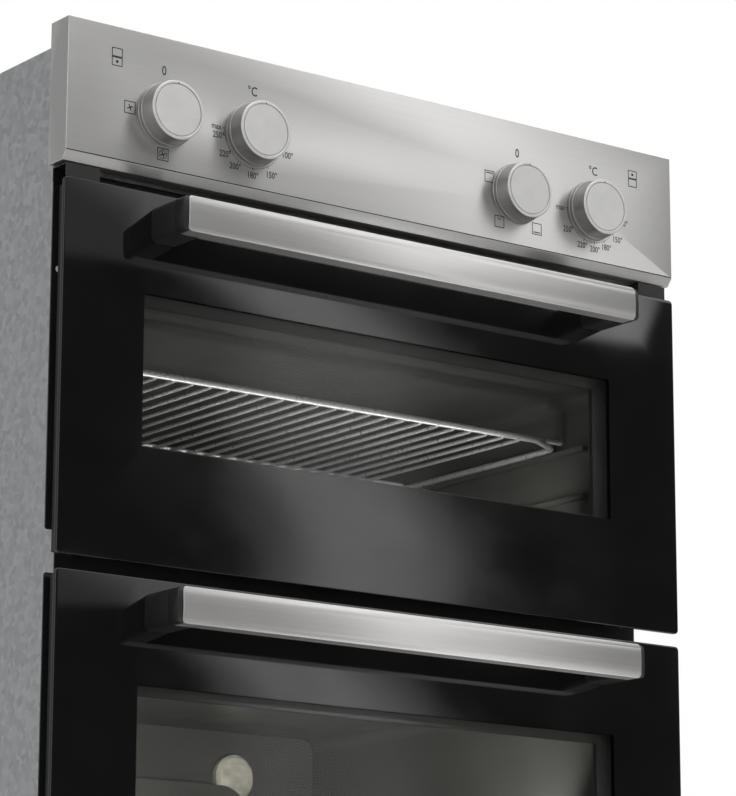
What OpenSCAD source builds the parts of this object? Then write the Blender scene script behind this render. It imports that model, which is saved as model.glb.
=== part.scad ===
// Built-in double oven: small upper oven, tall lower oven, two drop-down glass doors.
// X is the width, -Y is the front, +Z is up. The origin is the middle of the base.
// Depths written as d are measured backwards from the front faces of the doors.

/* [Overall size] */
// Width of the fascia and the doors
body_w = 594; // [560:1:720]
// Height from the base to the top of the fascia
body_h = 888; // [850:1:1070]
// Depth from the door faces to the back of the casing
body_d = 568; // [540:1:690]
// How far the handles stand out in front of the doors
handle_reach = 45; // [42:1:64]

/* [Front layout] */
// Height of the control fascia
panel_h = 110.5; // [100:0.5:135]
// Air outlet slot between the fascia and the upper door
vent_gap = 13; // [9:0.5:16]
// Height of the upper door
upper_door_h = 280.5; // [270:0.5:340]
// Slot between the two doors
door_gap = 10.5; // [9.5:0.5:14]
// Height of the trim strip under the lower door
trim_h = 17.5; // [14:0.5:22]
// Thickness of both doors, outer glass to inner glass
door_t = 20; // [18:0.5:24]
// Space between the closed doors and the front frames, filled by the seals
seal_gap = 4; // [3:0.5:6]

/* [Windows] */
// Width of the clear part of each door glass
window_w = 452; // [380:1:480]
// Black margin above each window
window_top = 78; // [70:1:95]
// Black margin below each window
window_bottom = 86.5; // [75:0.5:100]

/* [Casing] */
// How much narrower the casing is than the fascia, each side
casing_inset = 19; // [17:0.5:24]
// Sheet thickness of the casing
sheet = 1; // [0.8:0.1:1.5]
// How far the casing's top lies below the top of the fascia
top_drop = 8; // [6:0.5:14]
// Space behind the rear panel for the terminal box
rear_space = 9; // [8:0.5:14]
// Width of the fixing flange outside the casing, each side
flange_w = 14; // [12:0.5:16]
// Diameter of the cabinet fixing holes
fix_hole_d = 5; // [4:0.1:6]
// Height of the lower pair of fixing holes
fix_low_z = 140; // [100:1:200]
// Distance of the upper pair of fixing holes below the upper door's top edge
fix_down = 64.5; // [40:0.5:120]

/* [Oven cavities] */
// Width inside both cavities
cavity_w = 476; // [440:1:480]
// Depth inside both cavities
cavity_depth = 400; // [390:1:450]
// Height inside the upper cavity
upper_cavity_h = 154; // [140:1:170]
// Height of the upper cavity's floor above the upper door's bottom edge
upper_cavity_up = 46; // [44:1:60]
// Height of the lower cavity's floor above the lower door's bottom edge
lower_cavity_up = 56; // [50:1:66]
// Distance from the lower cavity's roof to the lower door's top edge
lower_cavity_down = 37.5; // [34:0.5:48]
// Enamelled sheet thickness
cavity_wall = 1; // [0.8:0.1:1.5]
// Thickness of the insulation blankets
insulation_t = 14; // [10:0.5:16]

/* [Shelves] */
// Height of the upper shelf's guides above the upper cavity floor
upper_shelf_up = 110; // [60:1:120]
// Spacing of the lower cavity's shelf guides
shelf_step = 52; // [45:1:60]
// Depth of the wire shelves and the baking tray
shelf_depth = 330; // [300:1:335]
// Spacing of the shelf bars
bar_pitch = 17; // [14:0.5:20]
// Diameter of the shelf's side rods
shelf_rod_d = 6; // [5:0.5:7]

/* [Controls] */
// Diameter of the knob face
knob_d = 46; // [40:1:50]
// How far the knobs stand out from the fascia
knob_reach = 17.5; // [14:0.5:22]
// Distance of the inner knobs from the middle
knob_in_x = 130; // [110:1:140]
// Distance of the outer knobs from the middle
knob_out_x = 210; // [195:1:225]
// Height of the knobs below the top of the fascia
knob_down = 61; // [50:1:66]
// Diameter of the knob spindles
spindle_d = 6; // [5:0.5:8]

/* [Handles] */
// Overall length of each handle, end caps included
handle_w = 442; // [380:1:520]
// Height of the handle bars
handle_h = 27.2; // [22:0.2:32]
// Depth of the handle bars
handle_t = 14; // [12:0.5:18]
// Distance from a door's top edge to the top of its handle
handle_down = 11; // [9:0.1:20]
// Width of the handle's end posts
post_w = 24.5; // [20:0.5:30]

/* [Hinges] */
// Depth of the hinge axis behind the door face
pivot_d = 18; // [16:0.5:19]
// Height of the hinge axis above the door's bottom edge
pivot_up = 13; // [12.5:0.5:16]
// Diameter of the hinge pins
pin_d = 6; // [5:0.5:8]
// Distance of each hinge from the casing's side
hinge_inset = 13; // [12:0.5:16]

/* [Hidden] */

$fn = 48;
eps = 1;
run_fit = 0.05;
gap = 0.4;

// Heights of the front, from the base up
panel_z0 = body_h - panel_h;
upper_z1 = panel_z0 - vent_gap;
upper_z0 = upper_z1 - upper_door_h;
lower_z1 = upper_z0 - door_gap;
lower_z0 = trim_h + door_gap;
upper_pivot_z = upper_z0 + pivot_up;
lower_pivot_z = lower_z0 + pivot_up;
knob_z = body_h - knob_down;

fascia_fold = casing_inset + 6;
lip_d = 15;
lip_rise = 6.5;
lip_run = 5;
bracket_d = 5;
bracket_inset = 4;
bracket_clear = 1.7;
bracket_top = panel_z0 - 1;

// Depth planes
y_front = (handle_reach - body_d) / 2;
frame_d = door_t + seal_gap;
frame_t = 1.2;
recess_d = pivot_d + pivot_up + 2;
shell_d = recess_d + frame_t;
rear_d = body_d - rear_space;
cavity_d0 = frame_d + frame_t;
cavity_d1 = cavity_d0 + cavity_depth;

// Casing
casing_w = body_w - 2 * casing_inset;
casing_x = casing_w / 2;
casing_top = body_h - top_drop;
eye_r = pin_d / 2 + 3.4;
recess_up = eye_r + 2;
recess_down = sqrt(pivot_d * pivot_d + pivot_up * pivot_up) + 1;
fix_x = casing_x + flange_w / 2 + 1;
screw_r = 1.5;
terminal_z = casing_top - 155;

// Cavities
cavity_x = cavity_w / 2;
cavity_r = 12;
upper_cavity_z0 = upper_z0 + upper_cavity_up;
upper_cavity_z1 = upper_cavity_z0 + upper_cavity_h;
lower_cavity_z0 = lower_z0 + lower_cavity_up;
lower_cavity_z1 = lower_z1 - lower_cavity_down;
lower_mid_z = (lower_cavity_z0 + lower_cavity_z1) / 2;
element_room = 8;
blanket_thin = 6;
element_d = 6.5;
rib_h = 4;
rib_out = 6;
rib_d0 = cavity_d0 + 16;
rib_d1 = cavity_d1 - 24;
lamp_hole_r = 17;
lamp_x = 150;
upper_lamp_z = upper_cavity_z1 - 34;
lower_lamp_z = lower_cavity_z1 - 40;

// Shelves: the side rods lie on the guides with a small free height
shelf_r = shelf_rod_d / 2;
shelf_x = cavity_x - shelf_r - 1.6;
shelf_front_d = cavity_d0 + 34.8;
upper_shelf_z = upper_cavity_z0 + upper_shelf_up + gap;
lower_shelf_z = lower_cavity_z0 + 4 * shelf_step + gap;
tray_z = lower_cavity_z0 + 2 * shelf_step + gap;
shelf_corner = 36.4;
bar_count = 2 * floor((shelf_x - shelf_corner - 8) / bar_pitch) + 1;

// Convection fan behind its baffle
baffle_d = cavity_d1 - 28;
fan_r = 72;
fan_blades = 14;
ring_r = 96;

// Cooling fan and its duct
duct_x = 170;
frame_top = upper_z1 - 2;
duct_z0 = frame_top;
duct_z1 = panel_z0 - 0.5;
rotor_r = 25;
rotor_x = 90;
rotor_d = 300;
rotor_z = (duct_z0 + duct_z1) / 2 + 4;

// Doors
column_w = 34;
column_edge = 8;
column_x1 = body_w / 2 - column_edge;
column_x0 = column_x1 - column_w;
glass_t = 4;
print_t = 0.2;
corner_r = 3.5;
rail_h = 24;
door_sheet = 1.2;
hinge_x = casing_x - hinge_inset;
arm_t = 4;
ear_t = 4.1;
pocket_w = arm_t + 2 * ear_t + 2 * gap + 1.6;
pocket_h = 52;
pin_r = pin_d / 2;

// Handles
cap_t = 4;
post_r = 3;
handle_wall = 1.5;

function fy(d) = y_front + d;

// ---------- shared shapes ----------

module block(x0, x1, d0, d1, z0, z1) {
    translate([x0, fy(d0), z0])
        cube([x1 - x0, d1 - d0, z1 - z0]);
}

module both_sides() {
    children();
    mirror([1, 0, 0])
        children();
}

module rod_y(x, d0, d1, z, r) {
    translate([x, fy(d0), z])
        rotate([-90, 0, 0])
            cylinder(h = d1 - d0, r = r);
}

module rod_x(x0, x1, d, z, r) {
    translate([x0, fy(d), z])
        rotate([0, 90, 0])
            cylinder(h = x1 - x0, r = r);
}

module ball(x, d, z, r) {
    translate([x, fy(d), z])
        sphere(r = r);
}

module rounded_rect(w, h, r) {
    translate([-w / 2, r])
        square([w, h - 2 * r]);
    translate([r - w / 2, 0])
        square([w - 2 * r, h]);
    for (x = [r - w / 2, w / 2 - r], y = [r, h - r])
        translate([x, y])
            circle(r = r);
}

// A plate that stands facing the front, between two depths
module panel(w, z0, z1, d0, d1, r) {
    translate([0, fy(d1), z0])
        rotate([90, 0, 0])
            linear_extrude(d1 - d0)
                rounded_rect(w, z1 - z0, r);
}

// An outline in depth and height, drawn out along X
module along_x(x0, x1) {
    translate([x0, y_front, 0])
        rotate([90, 0, 90])
            linear_extrude(x1 - x0)
                children();
}

// Self-tapping screw, or without its head the hole it cuts
module screw(head) {
    if (head)
        cylinder(h = 1.6, r = 3.4);
    translate([0, 0, -6])
        cylinder(h = 6 + eps / 2, r = screw_r);
}

module at_side_screws() {
    for (z = [60, body_h / 2, casing_top - 30])
        translate([casing_x, fy(rear_d - 20), z])
            rotate([0, 90, 0])
                children();
}

module at_top_screws() {
    for (d = [shell_d + 60, rear_d - 60])
        translate([casing_x - 40, fy(d), casing_top + sheet])
            children();
}

// ---------- casing ----------

module base_tray() {
    color("silver")
    union() {
        block(-casing_x, casing_x, shell_d, rear_d - sheet, 0, sheet);
        both_sides()
            block(casing_x - 2 * sheet, casing_x - sheet, shell_d, rear_d - sheet, 0, 14);
        difference() {
            block(-casing_x, casing_x, recess_d, shell_d, 0, lower_pivot_z + recess_up);
            both_sides()
                hinge_slot(lower_pivot_z);
        }
    }
}

// Opening for a hinge arm in the set-back plates behind the door bottoms
module hinge_slot(z) {
    block(hinge_x - arm_t / 2 - gap, hinge_x + arm_t / 2 + gap, recess_d - eps, shell_d + eps,
        z - eye_r - gap, z + eye_r + gap);
}

module side_panel() {
    difference() {
        block(casing_x - sheet, casing_x, shell_d, rear_d, sheet, casing_top);
        for (z = [panel_z0 + 20:14:casing_top - 24])
            block(casing_x - sheet - eps, casing_x + eps, rear_d - 160, rear_d - 60, z, z + 4);
        for (z = [30:14:72])
            block(casing_x - sheet - eps, casing_x + eps, rear_d - 160, rear_d - 60, z, z + 4);
        at_side_screws()
            screw(false);
    }
}

module right_side_panel() {
    color("silver")
        side_panel();
}

module left_side_panel() {
    color("silver")
    mirror([1, 0, 0])
        side_panel();
}

module top_cover() {
    color("silver")
    difference() {
        union() {
            block(-casing_x, casing_x, frame_d, rear_d, casing_top, casing_top + sheet);
            both_sides()
                block(casing_x - 2 * sheet, casing_x - sheet, shell_d, rear_d - sheet,
                    casing_top - 12, casing_top);
        }
        for (x = [-120:20:120])
            block(x - 3, x + 3, rotor_d - 40, rotor_d + 40, casing_top - eps, casing_top + sheet + eps);
        both_sides()
            at_top_screws()
                screw(false);
    }
}

module rear_panel() {
    color("silver")
    difference() {
        block(-casing_x + sheet, casing_x - sheet, rear_d - sheet, rear_d, 0, casing_top);
        for (x = [-100:20:100], z = [lower_mid_z - 60, casing_top - 60])
            block(x - 4, x + 4, rear_d - sheet - eps, rear_d + eps, z - 16, z + 16);
    }
}

// Sheet frame round a cavity's mouth, with a return all round and the fixing flanges
module front_frame(z0, z1, cz0, cz1) {
    difference() {
        union() {
            panel(casing_w + 2 * flange_w, z0, z1, frame_d, frame_d + frame_t, 2);
            difference() {
                block(-casing_x, casing_x, frame_d, shell_d, z0, z1);
                block(frame_t - casing_x, casing_x - frame_t, frame_d - eps, shell_d + eps,
                    z0 + frame_t, z1 - frame_t);
            }
        }
        panel(cavity_w, cz0, cz1, frame_d - eps, cavity_d0 + eps, cavity_r);
        both_sides()
            for (z = [fix_low_z, upper_z1 - fix_down])
                rod_y(fix_x, frame_d - eps, frame_d + frame_t + eps, z, fix_hole_d / 2);
    }
}

// The upper frame runs up on both sides of the duct to close the vent gap behind it
module upper_front_frame() {
    color("dimgray")
    union() {
        front_frame(upper_pivot_z + recess_up, frame_top, upper_cavity_z0, upper_cavity_z1);
        both_sides()
            block(duct_x + 1, casing_x + flange_w, frame_d, frame_d + frame_t, frame_top - eps,
                bracket_top);
    }
}

// Folded brackets under the fascia's ends, screwed to the upper frame
module fascia_brackets() {
    x0 = casing_x - flange_w;
    x1 = body_w / 2 - bracket_inset;
    z0 = upper_z1 + bracket_clear;
    color("dimgray")
    both_sides()
        union() {
            block(x0, x1, bracket_d, frame_d, bracket_top - sheet, bracket_top);
            block(x0, x1, bracket_d, bracket_d + sheet, z0, bracket_top);
            block(x0, x1, frame_d - sheet, frame_d, z0, bracket_top);
        }
}

module lower_front_frame() {
    color("dimgray")
        front_frame(lower_pivot_z + recess_up, upper_pivot_z - recess_down, lower_cavity_z0,
            lower_cavity_z1);
}

// Set-back plate between the ovens: the upper door's bottom edge turns in front of it
module divider_channel() {
    color("dimgray")
    difference() {
        block(-casing_x, casing_x, recess_d, shell_d, upper_pivot_z - recess_down,
            upper_pivot_z + recess_up);
        both_sides()
            hinge_slot(upper_pivot_z);
    }
}

module bottom_trim() {
    color("black")
    difference() {
        panel(body_w, 0.5, trim_h, 0, recess_d, 2);
        block(-body_w / 2 + 3, body_w / 2 - 3, 2, recess_d + eps, -eps, trim_h - 1.5);
        for (x = [-220:20:220])
            block(x - 6, x + 6, 8, 20, trim_h - 2, trim_h + eps);
    }
}

// ---------- control fascia ----------

module fascia_outline(cut) {
    polygon([[cut, panel_z0 + lip_rise + cut / 2], [lip_run + cut / 2, panel_z0 + cut],
        [frame_d - cut, panel_z0 + cut], [frame_d - cut, body_h - cut], [cut, body_h - cut]]);
}

module control_panel() {
    color("lightgray")
    difference() {
        intersection() {
            along_x(-body_w / 2, body_w / 2)
                fascia_outline(0);
            panel(body_w, panel_z0, body_h, 0, frame_d, 2.5);
        }
        along_x(-body_w / 2 + sheet, body_w / 2 - sheet)
            fascia_outline(sheet);
        block(fascia_fold - body_w / 2, body_w / 2 - fascia_fold, lip_d, frame_d + eps,
            panel_z0 - eps, body_h - 14);
        at_knobs()
            rod_y(0, -eps, 3, 0, spindle_d / 2 + 1.5);
    }
}

module at_knobs() {
    for (x = [-knob_out_x, -knob_in_x, knob_in_x, knob_out_x])
        translate([x, 0, knob_z])
            children();
}

module switch_bracket() {
    color("gray")
    difference() {
        union() {
            block(-casing_x, casing_x, frame_d, frame_d + frame_t, duct_z1, casing_top);
            block(sheet - casing_x, casing_x - sheet, frame_d, shell_d + 20, duct_z1,
                duct_z1 + frame_t);
            both_sides()
                block(casing_x - sheet, casing_x, frame_d, shell_d, duct_z1, casing_top);
        }
        at_knobs()
            rod_y(0, frame_d - eps, frame_d + frame_t + eps, 0, spindle_d / 2 + 1.5);
    }
}

module knob_bezels() {
    color("silver")
    at_knobs()
    difference() {
        rod_y(0, -1.4, 0, 0, knob_d / 2 + 2);
        rod_y(0, -1.4 - eps, eps, 0, spindle_d / 2 + 1.5);
    }
}

module switch_body(x, round_body) {
    d0 = frame_d + frame_t;
    difference() {
        union() {
            translate([x, 0, knob_z]) {
                if (round_body)
                    rod_y(0, d0, d0 + 24, 0, 19);
                else
                    block(-17, 17, d0, d0 + 30, -19, 19);
            }
            for (s = [-1, 1])
                block(x + s * 15 - 2, x + s * 15 + 2, d0 + 23.5, d0 + 36, knob_z - 4, knob_z + 4);
            block(x - 15, x + 15, d0 + 22, d0 + 24, knob_z - 5, knob_z + 5);
        }
        rod_y(x, d0 - eps, d0 + 20, knob_z, spindle_d / 2 + run_fit);
    }
}

module selector_switches() {
    color("whitesmoke")
    for (x = [-knob_out_x, knob_in_x])
        switch_body(x, false);
}

module thermostats() {
    color("gainsboro")
    for (x = [-knob_in_x, knob_out_x])
        switch_body(x, true);
}

// Knob with a flat ringed face, a slightly coned side and its spindle
module knob(x) {
    back = -1.4 - gap;
    face_r = knob_d / 2;
    translate([x, fy(back), knob_z])
        rotate([90, 0, 0]) {
            rotate_extrude($fn = 96)
                polygon([[0, 0], [face_r + 1.6, 0], [face_r + 1.6, 2.2], [face_r + 1, 2.8],
                    [face_r, knob_reach + back - 1.6], [face_r - 0.5, knob_reach + back - 0.5],
                    [face_r - 1.6, knob_reach + back], [face_r - 3.1, knob_reach + back],
                    [face_r - 3.5, knob_reach + back - 0.6], [face_r - 4, knob_reach + back - 0.6],
                    [face_r - 4.4, knob_reach + back - 0.1], [0, knob_reach + back - 0.1]]);
        }
    rod_y(x, back - 1, frame_d + frame_t + 18, knob_z, spindle_d / 2);
}

module lower_selector_knob() {
    color("lightgray")
        knob(-knob_out_x);
}

module lower_thermostat_knob() {
    color("lightgray")
        knob(-knob_in_x);
}

module upper_selector_knob() {
    color("lightgray")
        knob(knob_in_x);
}

module upper_thermostat_knob() {
    color("lightgray")
        knob(knob_out_x);
}

// ---------- cavities and heating ----------

// Enamelled box open at the front, with a flange behind the front frame
module cavity(z0, z1, lamp_z) {
    difference() {
        union() {
            panel(cavity_w + 2 * cavity_wall, z0 - cavity_wall, z1 + cavity_wall, cavity_d0,
                cavity_d1 + cavity_wall, cavity_r + cavity_wall);
            panel(cavity_w + 12, z0 - 6, z1 + 6, cavity_d0, cavity_d0 + cavity_wall, cavity_r);
        }
        panel(cavity_w, z0, z1, cavity_d0 - eps, cavity_d1, cavity_r);
        rod_y(lamp_x, cavity_d1 - eps, cavity_d1 + cavity_wall + eps, lamp_z, lamp_hole_r);
    }
}

module shelf_guide(z) {
    both_sides()
        block(cavity_x - rib_out, cavity_x + cavity_wall / 2, rib_d0, rib_d1, z - rib_h, z);
}

module upper_cavity() {
    color("#3c3c3a")
    union() {
        cavity(upper_cavity_z0, upper_cavity_z1, upper_lamp_z);
        shelf_guide(upper_cavity_z0 + upper_shelf_up);
        shelf_guide(upper_cavity_z0 + upper_shelf_up - 40);
    }
}

module lower_cavity() {
    color("#3c3c3a")
    union() {
        difference() {
            cavity(lower_cavity_z0, lower_cavity_z1, lower_lamp_z);
            rod_y(0, cavity_d1 - eps, cavity_d1 + cavity_wall + eps, lower_mid_z, 6);
        }
        for (i = [1:5])
            shelf_guide(lower_cavity_z0 + i * shelf_step);
    }
}

// Mineral wool blanket round a cavity, with room above and below for the elements
module insulation(z0, z1) {
    w = cavity_w + 2 * cavity_wall;
    back = cavity_d1 + cavity_wall;
    difference() {
        block(-w / 2 - insulation_t, w / 2 + insulation_t, shell_d + 8, back + insulation_t,
            z0 - cavity_wall - element_room - insulation_t + blanket_thin,
            z1 + cavity_wall + element_room + insulation_t - blanket_thin);
        block(-w / 2, w / 2, shell_d, back, z0 - cavity_wall - element_room,
            z1 + cavity_wall + element_room);
        rod_y(lamp_x, back - eps, back + insulation_t + eps, z1 - 37, 24);
        rod_y(0, back - eps, back + insulation_t + eps, (z0 + z1) / 2, 50);
    }
}

module upper_insulation() {
    color("khaki")
        insulation(upper_cavity_z0, upper_cavity_z1);
}

module lower_insulation() {
    color("khaki")
        insulation(lower_cavity_z0, lower_cavity_z1);
}

// Hollow rubber seal on the front frame, round a cavity's mouth
module seal(z0, z1) {
    w = 8;
    out = 1.5;
    difference() {
        panel(cavity_w + 2 * (w + out), z0 - w - out, z1 + w + out, door_t + gap, frame_d,
            cavity_r + w);
        panel(cavity_w + 2 * out, z0 - out, z1 + out, door_t, frame_d + eps, cavity_r);
    }
}

module upper_door_seal() {
    color("#222222")
        seal(upper_cavity_z0, upper_cavity_z1);
}

module lower_door_seal() {
    color("#222222")
        seal(lower_cavity_z0, lower_cavity_z1);
}

// Tubular heater bent to and fro, lying flat
module flat_element(z) {
    r = element_d / 2;
    run0 = cavity_d0 + 60;
    run1 = cavity_d1 - 60;
    pitch = 60;
    for (i = [0:5])
        rod_y((i - 2.5) * pitch, run0, run1, z, r);
    for (i = [0:4])
        translate([(i - 2) * pitch, fy(i % 2 == 0 ? run0 : run1), z])
            rotate([0, 0, i % 2 == 0 ? 180 : 0])
                rotate_extrude(angle = 180)
                    translate([pitch / 2, 0])
                        circle(r = r);
}

module roof_element() {
    color("dimgray")
        flat_element(upper_cavity_z1 + cavity_wall + element_d / 2);
}

module floor_element() {
    color("dimgray")
        flat_element(upper_cavity_z0 - cavity_wall - element_d / 2);
}

module ring_element() {
    color("dimgray")
    translate([0, fy(cavity_d1 - 13), lower_mid_z])
        rotate([-90, 0, 0]) {
            for (lift = [-5, 5])
                translate([0, 0, lift])
                    rotate_extrude()
                        translate([ring_r, 0])
                            circle(r = element_d / 2);
            for (a = [80, 100])
                rotate([0, 0, a])
                    translate([ring_r, 0, -5])
                        cylinder(h = 18, r = 2.5);
        }
}

module fan_baffle() {
    color("#3c3c3a")
    difference() {
        union() {
            panel(300, lower_mid_z - 125, lower_mid_z + 125, baffle_d, baffle_d + 1, 30);
            for (x = [-120, 120], z = [-100, 100])
                rod_y(x, baffle_d, cavity_d1, lower_mid_z + z, 4);
        }
        for (a = [0:30:330])
            translate([0, 0, lower_mid_z])
                rotate([0, a, 0])
                    block(26, 58, baffle_d - eps, baffle_d + 1 + eps, -3, 3);
        rod_y(0, baffle_d - eps, baffle_d + 1 + eps, lower_mid_z, 14);
    }
}

module convection_fan() {
    color("silver")
    union() {
        rod_y(0, cavity_d1 - 20, cavity_d1 - 18.5, lower_mid_z, fan_r);
        rod_y(0, cavity_d1 - 21, cavity_d1 - 3, lower_mid_z, 10);
        rod_y(0, cavity_d1 - 20, cavity_d1 + 30, lower_mid_z, 4);
        for (i = [0:fan_blades - 1])
            translate([0, 0, lower_mid_z])
                rotate([0, i * 360 / fan_blades, 0])
                    block(34, fan_r, cavity_d1 - 19, cavity_d1 - 4, -0.8, 0.8);
    }
}

module fan_motor() {
    color("gray")
    difference() {
        union() {
            rod_y(0, cavity_d1 + cavity_wall + 2, cavity_d1 + 42, lower_mid_z, 32);
            rod_y(0, cavity_d1 + cavity_wall, cavity_d1 + cavity_wall + 4, lower_mid_z, 42);
        }
        rod_y(0, cavity_d1 - eps, cavity_d1 + 34, lower_mid_z, 4 + run_fit);
    }
}

module at_lamps() {
    translate([lamp_x, 0, upper_lamp_z])
        children();
    translate([lamp_x, 0, lower_lamp_z])
        children();
}

module lamp_holders() {
    color("white")
    at_lamps() {
        rod_y(0, cavity_d1 + 0.5, cavity_d1 + 40, 0, lamp_hole_r);
        rod_y(0, cavity_d1 + cavity_wall, cavity_d1 + cavity_wall + 2, 0, lamp_hole_r + 4);
    }
}

module lamp_lenses() {
    color("lightyellow")
    at_lamps()
    translate([0, fy(cavity_d1), 0])
        rotate([90, 0, 0])
            rotate_extrude()
                polygon([[0, -0.5], [lamp_hole_r, -0.5], [lamp_hole_r, 0], [lamp_hole_r + 3, 0],
                    [lamp_hole_r + 3, 5], [lamp_hole_r, 8], [lamp_hole_r - 6, 10], [0, 10.5]]);
}

// ---------- cooling air ----------

module cooling_duct() {
    color("silver")
    difference() {
        block(-duct_x, duct_x, frame_d, rotor_d - rotor_r - 8, duct_z0, duct_z1);
        block(1 - duct_x, duct_x - 1, frame_d - eps, rotor_d, duct_z0 + 1, duct_z1 - 1);
    }
}

module cooling_fan_housing() {
    r = rotor_r + 3;
    d0 = rotor_d - rotor_r - 8;
    color("silver")
    difference() {
        union() {
            rod_x(-rotor_x - 4, rotor_x + 4, rotor_d, rotor_z, r + 1.5);
            block(-duct_x, duct_x, d0, d0 + 1.5, duct_z0, rotor_z + r);
        }
        rod_x(-rotor_x - 2.5, rotor_x + 2.5, rotor_d, rotor_z, r);
        block(-rotor_x, rotor_x, d0 - eps, rotor_d, duct_z0 + 1, duct_z1 - 1);
        block(-rotor_x, rotor_x, rotor_d - 12, rotor_d + 12, rotor_z, rotor_z + r + 3);
        rod_x(-rotor_x - 10, rotor_x + 10, rotor_d, rotor_z, 3 + run_fit);
    }
}

module cooling_fan_rotor() {
    color("gray")
    union() {
        for (x = [-rotor_x, -1, rotor_x - 2])
            rod_x(x, x + 2, rotor_d, rotor_z, rotor_r);
        rod_x(-rotor_x - 4, rotor_x + 24, rotor_d, rotor_z, 3);
        for (a = [0:20:340])
            translate([0, fy(rotor_d), rotor_z])
                rotate([a, 0, 0])
                    translate([-rotor_x, -0.4, rotor_r - 7])
                        cube([2 * rotor_x, 0.8, 7]);
    }
}

module cooling_fan_motor() {
    color("dimgray")
    difference() {
        rod_x(rotor_x + 4, rotor_x + 44, rotor_d, rotor_z, 22);
        rod_x(rotor_x + 4 - eps, rotor_x + 30, rotor_d, rotor_z, 3 + run_fit);
    }
}

module terminal_block() {
    color("whitesmoke")
    difference() {
        panel(70, terminal_z - 25, terminal_z + 25, rear_d, body_d, 4);
        for (x = [-20, 0, 20])
            rod_y(x, body_d - 5, body_d + eps, terminal_z + 13, 3);
        rod_y(0, rear_d - eps, body_d + eps, terminal_z - 11, 6);
    }
}

module casing_screws() {
    color("gainsboro")
    both_sides() {
        at_side_screws()
            screw(true);
        at_top_screws()
            screw(true);
    }
}

// ---------- hinges ----------

module hinge_arm(z) {
    difference() {
        union() {
            rod_x(hinge_x - arm_t / 2, hinge_x + arm_t / 2, pivot_d, z, eye_r);
            block(hinge_x - arm_t / 2, hinge_x + arm_t / 2, pivot_d, shell_d + 1, z - 5, z + eye_r);
            block(hinge_x - 7, hinge_x + 7, shell_d, shell_d + 56, z - 13, z + 13);
        }
        rod_x(hinge_x - arm_t, hinge_x + arm_t, pivot_d, z, pin_r);
    }
}

module hinge_arms() {
    color("lightsteelblue")
    both_sides() {
        hinge_arm(lower_pivot_z);
        hinge_arm(upper_pivot_z);
    }
}

module hinge_pins() {
    half = arm_t / 2 + gap + ear_t;
    color("lightsteelblue")
    both_sides()
        for (z = [lower_pivot_z, upper_pivot_z])
            rod_x(hinge_x - half, hinge_x + half, pivot_d, z, pin_r);
}

// The door's half of a hinge: two ears on the pin and a block in the door column
module hinge_leaves(z) {
    half = arm_t / 2 + gap;
    top = z - pivot_up + pocket_h;
    both_sides()
    difference() {
        union() {
            for (x = [hinge_x - half - ear_t, hinge_x + half]) {
                rod_x(x, x + ear_t, pivot_d, z, eye_r - 1.8);
                block(x, x + ear_t, pivot_d - eye_r + 1.8, pivot_d + 1, z, z + 20);
            }
            block(hinge_x - half - ear_t, hinge_x + half + ear_t, pivot_d - 7, pivot_d + 1,
                z + 14, top);
        }
        rod_x(hinge_x - 20, hinge_x + 20, pivot_d, z, pin_r + run_fit);
    }
}

// ---------- shelves and tray ----------

module wire_shelf(z) {
    front = shelf_front_d;
    back = front + shelf_depth;
    rail_x = shelf_x - shelf_corner;
    bar_z = z + shelf_r - 0.5;
    cross_z = z + shelf_r + 4;
    union() {
        rod_x(-rail_x, rail_x, front, z + shelf_r, 2.5);
        both_sides() {
            rod_y(shelf_x, front + 20, back, z + shelf_r, shelf_r);
            ball(rail_x, front, z + shelf_r, 2.5);
            ball(shelf_x, front + 20, z + shelf_r, shelf_r);
            translate([rail_x, fy(front), z + shelf_r])
                rotate([0, 90, atan2(20, shelf_corner)])
                    cylinder(h = norm([20, shelf_corner]), r = 2.5);
            ball(shelf_x, back, z + shelf_r, shelf_r);
        }
        rod_x(-shelf_x, shelf_x, back, z + shelf_r, 2.5);
        for (d = [front + 10, front + 0.68 * shelf_depth])
            rod_x(-shelf_x, shelf_x, d, cross_z, 2);
        for (i = [0:bar_count - 1])
            shelf_bar((i - (bar_count - 1) / 2) * bar_pitch, front + 10, back, bar_z);
    }
}

module shelf_bar(x, d0, d1, z) {
    rod_y(x, d0, d1, z, 1.5);
    ball(x, d0, z + 0.6, 2.2);
    rod_y(x, d0 - 2, d0 + 2, z + 1.6, 1.2);
}

module upper_shelf() {
    color("gainsboro")
        wire_shelf(upper_shelf_z);
}

module lower_shelf() {
    color("gainsboro")
        wire_shelf(lower_shelf_z);
}

module baking_tray() {
    rim_x = cavity_x - 2;
    well_x = cavity_x - rib_out - 3;
    front = shelf_front_d;
    back = front + shelf_depth;
    color("#303030")
    difference() {
        union() {
            block(-rim_x, rim_x, front, back, tray_z, tray_z + 1);
            block(-well_x, well_x, front + 8, back - 8, tray_z - 34, tray_z + 1);
        }
        block(1 - well_x, well_x - 1, front + 9, back - 9, tray_z - 33, tray_z + 1 + eps);
    }
}

// ---------- doors ----------

// Outer glass with a fired black print on its back, left out over the window
module door_glass(z0, z1) {
    difference() {
        panel(body_w, z0, z1, 0, glass_t, corner_r);
        panel(window_w, z0 + window_bottom, z1 - window_top, glass_t - print_t, glass_t + eps, 1);
    }
}

module inner_glass(z0, z1) {
    block(-column_x0, column_x0, door_t - glass_t, door_t, z0 + rail_h + 2, z1 - rail_h);
}

// Folded side columns, with a pocket at the bottom for the hinge
module columns(z0, z1) {
    both_sides()
    difference() {
        block(column_x0, column_x1, glass_t, door_t, z0 + 4, z1 - 2);
        block(column_x0 + door_sheet, column_x1 - door_sheet, glass_t + door_sheet,
            door_t - door_sheet, z0 + pocket_h + door_sheet, z1 - 2 - door_sheet);
        block(hinge_x - pocket_w / 2, hinge_x + pocket_w / 2, pivot_d - eye_r - 1.5, door_t + eps,
            z0, z0 + pocket_h);
    }
}

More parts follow.
